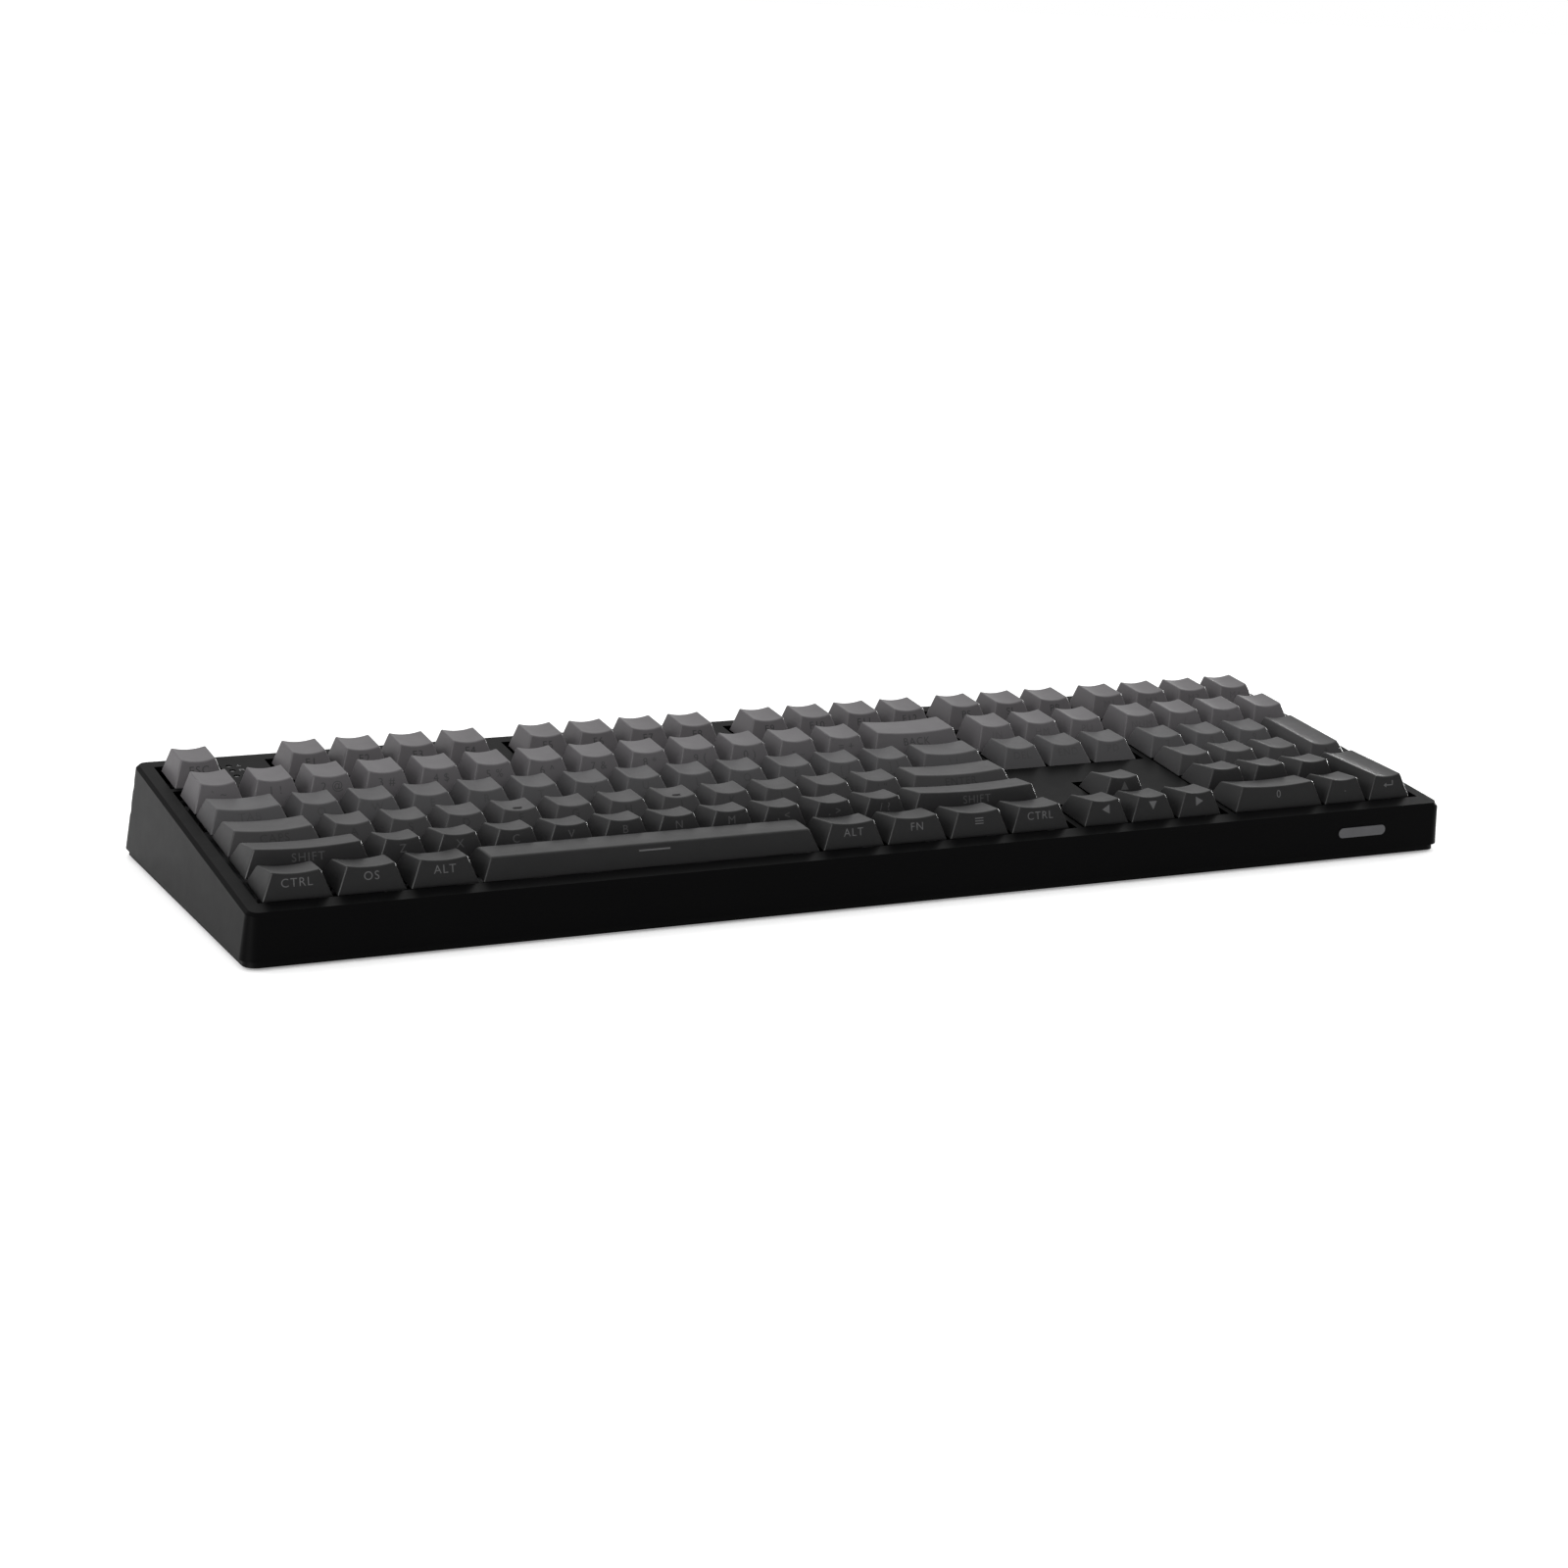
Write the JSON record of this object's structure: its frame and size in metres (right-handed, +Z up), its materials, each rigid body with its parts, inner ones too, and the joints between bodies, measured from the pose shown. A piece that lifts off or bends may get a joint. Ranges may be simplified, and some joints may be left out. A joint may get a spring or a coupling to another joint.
{
  "type": "mechanical keyboard",
  "caption": "Full-size mechanical keyboard: sculpted grey-to-black keys on plate-mounted switches in a sloped dark two-piece case with flip feet and a rear USB socket.",
  "frame": {"origin": "middle of the footprint on the desk, under the rubber feet", "axes": "+X to the typist's right, +Y away from the typist towards the rear wall, +Z up from the desk"},
  "size_m": [0.4476, 0.1415, 0.0396],
  "materials": {
    "keycap_row_0": "light warm grey PBT, fine moulded texture",
    "keycap_row_1": "light warm grey PBT, fine moulded texture",
    "keycap_row_2": "mid grey PBT, fine moulded texture",
    "keycap_row_3": "darker grey PBT, fine moulded texture",
    "keycap_row_4": "charcoal PBT, fine moulded texture",
    "keycap_row_5": "near black PBT, fine moulded texture",
    "case_top": "near black moulded case, satin",
    "case_bottom": "near black moulded tray, fine texture",
    "steel_plate": "powder coated steel sheet",
    "circuit_board": "solder masked glass fibre board",
    "foam": "closed cell foam sheet",
    "switch_nylon": "moulded nylon",
    "spring_steel": "bright spring steel",
    "contact_brass": "tinned copper alloy",
    "light_pipe": "clear acrylic",
    "led_epoxy": "moulded epoxy",
    "usb_shell": "stamped stainless steel",
    "chip_epoxy": "moulded epoxy package",
    "rubber": "matt silicone rubber",
    "screw_steel": "black zinc plated steel",
    "badge_metal": "satin dark metal inlay, plain",
    "foot_plastic": "moulded nylon"
  },
  "bodies": {
    "case": {"top_case": "case_top", "bottom_case": "case_bottom", "switch_plate": "steel_plate", "circuit_board": "circuit_board", "case_foam": "foam", "switch_bases": "switch_nylon", "switch_tops": "switch_nylon", "switch_springs": "spring_steel", "switch_contacts": "contact_brass", "stabiliser_housings": "switch_nylon", "stabiliser_wires": "spring_steel", "indicator_light_pipes": "light_pipe", "indicator_leds": "led_epoxy", "usb_socket": "usb_shell", "controller_chip": "chip_epoxy", "rubber_feet": "rubber", "case_screws": "screw_steel", "board_screws": "screw_steel", "front_badge": "badge_metal", "flip_foot_pins": "spring_steel"},
    "key_escape": {"key_escape": "keycap_row_0"},
    "keys_f1_to_f4": {"keys_f1_to_f4": "keycap_row_0"},
    "keys_f5_to_f8": {"keys_f5_to_f8": "keycap_row_0"},
    "keys_f9_to_f12": {"keys_f9_to_f12": "keycap_row_0"},
    "keys_system": {"keys_system": "keycap_row_0"},
    "keys_media": {"keys_media": "keycap_row_0"},
    "keys_number_row": {"keys_number_row": "keycap_row_1"},
    "key_backspace": {"key_backspace": "keycap_row_1"},
    "keys_keypad_operators": {"keys_keypad_operators": "keycap_row_1"},
    "key_tab": {"key_tab": "keycap_row_2"},
    "keys_upper_letters": {"keys_upper_letters": "keycap_row_2"},
    "key_backslash": {"key_backslash": "keycap_row_2"},
    "keys_keypad_789": {"keys_keypad_789": "keycap_row_2"},
    "key_caps_lock": {"key_caps_lock": "keycap_row_3"},
    "keys_home_letters": {"keys_home_letters": "keycap_row_3"},
    "key_enter": {"key_enter": "keycap_row_3"},
    "keys_keypad_456": {"keys_keypad_456": "keycap_row_3"},
    "key_left_shift": {"key_left_shift": "keycap_row_4"},
    "keys_lower_letters": {"keys_lower_letters": "keycap_row_4"},
    "key_right_shift": {"key_right_shift": "keycap_row_4"},
    "key_arrow_up": {"key_arrow_up": "keycap_row_4"},
    "keys_keypad_123": {"keys_keypad_123": "keycap_row_4"},
    "key_left_ctrl": {"key_left_ctrl": "keycap_row_5"},
    "key_left_os": {"key_left_os": "keycap_row_5"},
    "key_left_alt": {"key_left_alt": "keycap_row_5"},
    "key_space": {"key_space": "keycap_row_5"},
    "key_right_alt": {"key_right_alt": "keycap_row_5"},
    "key_function": {"key_function": "keycap_row_5"},
    "key_menu": {"key_menu": "keycap_row_5"},
    "key_right_ctrl": {"key_right_ctrl": "keycap_row_5"},
    "key_arrow_left": {"key_arrow_left": "keycap_row_5"},
    "key_arrow_down": {"key_arrow_down": "keycap_row_5"},
    "key_arrow_right": {"key_arrow_right": "keycap_row_5"},
    "key_keypad_0": {"key_keypad_0": "keycap_row_5"},
    "key_keypad_point": {"key_keypad_point": "keycap_row_5"},
    "keys_navigation": {"keys_navigation": "keycap_row_1"},
    "key_keypad_plus": {"key_keypad_plus": "keycap_row_3"},
    "key_keypad_enter": {"key_keypad_enter": "keycap_row_5"},
    "flip_foot_left": {"flip_foot_left": "foot_plastic"},
    "flip_foot_right": {"flip_foot_right": "foot_plastic"}
  },
  "joints": [
    {"name": "key_escape_press", "type": "slide", "parent": "case", "child": "key_escape", "axis": [0, 0.108, -0.9942], "range_m": [0, 0.004], "stiffness_N_per_m": 75, "springref_m": -0.004, "deforming": ["switch_springs"]},
    {"name": "keys_f1_to_f4_press", "type": "slide", "parent": "case", "child": "keys_f1_to_f4", "axis": [0, 0.108, -0.9942], "range_m": [0, 0.004], "stiffness_N_per_m": 300, "springref_m": -0.004, "deforming": ["switch_springs"]},
    {"name": "keys_f5_to_f8_press", "type": "slide", "parent": "case", "child": "keys_f5_to_f8", "axis": [0, 0.108, -0.9942], "range_m": [0, 0.004], "stiffness_N_per_m": 300, "springref_m": -0.004, "deforming": ["switch_springs"]},
    {"name": "keys_f9_to_f12_press", "type": "slide", "parent": "case", "child": "keys_f9_to_f12", "axis": [0, 0.108, -0.9942], "range_m": [0, 0.004], "stiffness_N_per_m": 300, "springref_m": -0.004, "deforming": ["switch_springs"]},
    {"name": "keys_system_press", "type": "slide", "parent": "case", "child": "keys_system", "axis": [0, 0.108, -0.9942], "range_m": [0, 0.004], "stiffness_N_per_m": 225, "springref_m": -0.004, "deforming": ["switch_springs"]},
    {"name": "keys_media_press", "type": "slide", "parent": "case", "child": "keys_media", "axis": [0, 0.108, -0.9942], "range_m": [0, 0.004], "stiffness_N_per_m": 300, "springref_m": -0.004, "deforming": ["switch_springs"]},
    {"name": "keys_number_row_press", "type": "slide", "parent": "case", "child": "keys_number_row", "axis": [0, 0.108, -0.9942], "range_m": [0, 0.004], "stiffness_N_per_m": 975, "springref_m": -0.004, "deforming": ["switch_springs"]},
    {"name": "key_backspace_press", "type": "slide", "parent": "case", "child": "key_backspace", "axis": [0, 0.108, -0.9942], "range_m": [0, 0.004], "stiffness_N_per_m": 75, "springref_m": -0.004, "deforming": ["switch_springs"]},
    {"name": "keys_keypad_operators_press", "type": "slide", "parent": "case", "child": "keys_keypad_operators", "axis": [0, 0.108, -0.9942], "range_m": [0, 0.004], "stiffness_N_per_m": 300, "springref_m": -0.004, "deforming": ["switch_springs"]},
    {"name": "key_tab_press", "type": "slide", "parent": "case", "child": "key_tab", "axis": [0, 0.108, -0.9942], "range_m": [0, 0.004], "stiffness_N_per_m": 75, "springref_m": -0.004, "deforming": ["switch_springs"]},
    {"name": "keys_upper_letters_press", "type": "slide", "parent": "case", "child": "keys_upper_letters", "axis": [0, 0.108, -0.9942], "range_m": [0, 0.004], "stiffness_N_per_m": 900, "springref_m": -0.004, "deforming": ["switch_springs"]},
    {"name": "key_backslash_press", "type": "slide", "parent": "case", "child": "key_backslash", "axis": [0, 0.108, -0.9942], "range_m": [0, 0.004], "stiffness_N_per_m": 75, "springref_m": -0.004, "deforming": ["switch_springs"]},
    {"name": "keys_keypad_789_press", "type": "slide", "parent": "case", "child": "keys_keypad_789", "axis": [0, 0.108, -0.9942], "range_m": [0, 0.004], "stiffness_N_per_m": 225, "springref_m": -0.004, "deforming": ["switch_springs"]},
    {"name": "key_caps_lock_press", "type": "slide", "parent": "case", "child": "key_caps_lock", "axis": [0, 0.108, -0.9942], "range_m": [0, 0.004], "stiffness_N_per_m": 75, "springref_m": -0.004, "deforming": ["switch_springs"]},
    {"name": "keys_home_letters_press", "type": "slide", "parent": "case", "child": "keys_home_letters", "axis": [0, 0.108, -0.9942], "range_m": [0, 0.004], "stiffness_N_per_m": 825, "springref_m": -0.004, "deforming": ["switch_springs"]},
    {"name": "key_enter_press", "type": "slide", "parent": "case", "child": "key_enter", "axis": [0, 0.108, -0.9942], "range_m": [0, 0.004], "stiffness_N_per_m": 75, "springref_m": -0.004, "deforming": ["switch_springs"]},
    {"name": "keys_keypad_456_press", "type": "slide", "parent": "case", "child": "keys_keypad_456", "axis": [0, 0.108, -0.9942], "range_m": [0, 0.004], "stiffness_N_per_m": 225, "springref_m": -0.004, "deforming": ["switch_springs"]},
    {"name": "key_left_shift_press", "type": "slide", "parent": "case", "child": "key_left_shift", "axis": [0, 0.108, -0.9942], "range_m": [0, 0.004], "stiffness_N_per_m": 75, "springref_m": -0.004, "deforming": ["switch_springs"]},
    {"name": "keys_lower_letters_press", "type": "slide", "parent": "case", "child": "keys_lower_letters", "axis": [0, 0.108, -0.9942], "range_m": [0, 0.004], "stiffness_N_per_m": 750, "springref_m": -0.004, "deforming": ["switch_springs"]},
    {"name": "key_right_shift_press", "type": "slide", "parent": "case", "child": "key_right_shift", "axis": [0, 0.108, -0.9942], "range_m": [0, 0.004], "stiffness_N_per_m": 75, "springref_m": -0.004, "deforming": ["switch_springs"]},
    {"name": "key_arrow_up_press", "type": "slide", "parent": "case", "child": "key_arrow_up", "axis": [0, 0.108, -0.9942], "range_m": [0, 0.004], "stiffness_N_per_m": 75, "springref_m": -0.004, "deforming": ["switch_springs"]},
    {"name": "keys_keypad_123_press", "type": "slide", "parent": "case", "child": "keys_keypad_123", "axis": [0, 0.108, -0.9942], "range_m": [0, 0.004], "stiffness_N_per_m": 225, "springref_m": -0.004, "deforming": ["switch_springs"]},
    {"name": "key_left_ctrl_press", "type": "slide", "parent": "case", "child": "key_left_ctrl", "axis": [0, 0.108, -0.9942], "range_m": [0, 0.004], "stiffness_N_per_m": 75, "springref_m": -0.004, "deforming": ["switch_springs"]},
    {"name": "key_left_os_press", "type": "slide", "parent": "case", "child": "key_left_os", "axis": [0, 0.108, -0.9942], "range_m": [0, 0.004], "stiffness_N_per_m": 75, "springref_m": -0.004, "deforming": ["switch_springs"]},
    {"name": "key_left_alt_press", "type": "slide", "parent": "case", "child": "key_left_alt", "axis": [0, 0.108, -0.9942], "range_m": [0, 0.004], "stiffness_N_per_m": 75, "springref_m": -0.004, "deforming": ["switch_springs"]},
    {"name": "key_space_press", "type": "slide", "parent": "case", "child": "key_space", "axis": [0, 0.108, -0.9942], "range_m": [0, 0.004], "stiffness_N_per_m": 75, "springref_m": -0.004, "deforming": ["switch_springs"]},
    {"name": "key_right_alt_press", "type": "slide", "parent": "case", "child": "key_right_alt", "axis": [0, 0.108, -0.9942], "range_m": [0, 0.004], "stiffness_N_per_m": 75, "springref_m": -0.004, "deforming": ["switch_springs"]},
    {"name": "key_function_press", "type": "slide", "parent": "case", "child": "key_function", "axis": [0, 0.108, -0.9942], "range_m": [0, 0.004], "stiffness_N_per_m": 75, "springref_m": -0.004, "deforming": ["switch_springs"]},
    {"name": "key_menu_press", "type": "slide", "parent": "case", "child": "key_menu", "axis": [0, 0.108, -0.9942], "range_m": [0, 0.004], "stiffness_N_per_m": 75, "springref_m": -0.004, "deforming": ["switch_springs"]},
    {"name": "key_right_ctrl_press", "type": "slide", "parent": "case", "child": "key_right_ctrl", "axis": [0, 0.108, -0.9942], "range_m": [0, 0.004], "stiffness_N_per_m": 75, "springref_m": -0.004, "deforming": ["switch_springs"]},
    {"name": "key_arrow_left_press", "type": "slide", "parent": "case", "child": "key_arrow_left", "axis": [0, 0.108, -0.9942], "range_m": [0, 0.004], "stiffness_N_per_m": 75, "springref_m": -0.004, "deforming": ["switch_springs"]},
    {"name": "key_arrow_down_press", "type": "slide", "parent": "case", "child": "key_arrow_down", "axis": [0, 0.108, -0.9942], "range_m": [0, 0.004], "stiffness_N_per_m": 75, "springref_m": -0.004, "deforming": ["switch_springs"]},
    {"name": "key_arrow_right_press", "type": "slide", "parent": "case", "child": "key_arrow_right", "axis": [0, 0.108, -0.9942], "range_m": [0, 0.004], "stiffness_N_per_m": 75, "springref_m": -0.004, "deforming": ["switch_springs"]},
    {"name": "key_keypad_0_press", "type": "slide", "parent": "case", "child": "key_keypad_0", "axis": [0, 0.108, -0.9942], "range_m": [0, 0.004], "stiffness_N_per_m": 75, "springref_m": -0.004, "deforming": ["switch_springs"]},
    {"name": "key_keypad_point_press", "type": "slide", "parent": "case", "child": "key_keypad_point", "axis": [0, 0.108, -0.9942], "range_m": [0, 0.004], "stiffness_N_per_m": 75, "springref_m": -0.004, "deforming": ["switch_springs"]},
    {"name": "keys_navigation_press", "type": "slide", "parent": "case", "child": "keys_navigation", "axis": [0, 0.108, -0.9942], "range_m": [0, 0.004], "stiffness_N_per_m": 450, "springref_m": -0.004, "deforming": ["switch_springs"]},
    {"name": "key_keypad_plus_press", "type": "slide", "parent": "case", "child": "key_keypad_plus", "axis": [0, 0.108, -0.9942], "range_m": [0, 0.004], "stiffness_N_per_m": 75, "springref_m": -0.004, "deforming": ["switch_springs"]},
    {"name": "key_keypad_enter_press", "type": "slide", "parent": "case", "child": "key_keypad_enter", "axis": [0, 0.108, -0.9942], "range_m": [0, 0.004], "stiffness_N_per_m": 75, "springref_m": -0.004, "deforming": ["switch_springs"]},
    {"name": "flip_foot_left_fold", "type": "hinge", "parent": "case", "child": "flip_foot_left", "pos_m": [-0.18, 0.056, 0.0035], "axis": [1, 0, 0], "range_deg": [0, 100]},
    {"name": "flip_foot_right_fold", "type": "hinge", "parent": "case", "child": "flip_foot_right", "pos_m": [0.18, 0.056, 0.0035], "axis": [1, 0, 0], "range_deg": [0, 100]}
  ]
}
